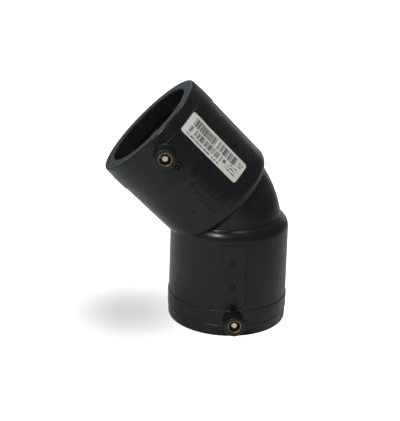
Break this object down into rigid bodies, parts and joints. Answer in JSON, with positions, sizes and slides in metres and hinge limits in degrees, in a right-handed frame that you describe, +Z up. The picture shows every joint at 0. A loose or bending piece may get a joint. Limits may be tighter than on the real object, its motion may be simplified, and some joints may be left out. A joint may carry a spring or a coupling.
{
  "type": "electrofusion pipe elbow",
  "caption": "Socket elbow that turns a polyethylene pressure pipe through 45 degrees and fuses to it by built-in heating coils fed from shrouded terminals.",
  "frame": {"origin": "centre of the lower socket's mouth, on the ground plane", "axes": "+Z up along the lower socket's axis into the fitting; the upper socket leans 45 degrees towards -X; the terminals and markings face -Y"},
  "size_m": [0.1251, 0.0937, 0.1631],
  "materials": {
    "black_polyethylene": "satin black polyethylene with a fine moulded grain",
    "copper_wire": "bare drawn copper",
    "contact_brass": "turned brass, slightly dulled",
    "indicator_polymer": "satin black polymer",
    "label_film": null
  },
  "bodies": {
    "root": {"body": "black_polyethylene", "lower_heating_coil": "copper_wire", "upper_heating_coil": "copper_wire", "link_wire": "copper_wire", "lower_terminal": "contact_brass", "upper_terminal": "contact_brass", "lower_fusion_indicator": "indicator_polymer", "upper_fusion_indicator": "indicator_polymer", "barcode_label": "label_film"}
  },
  "joints": []
}
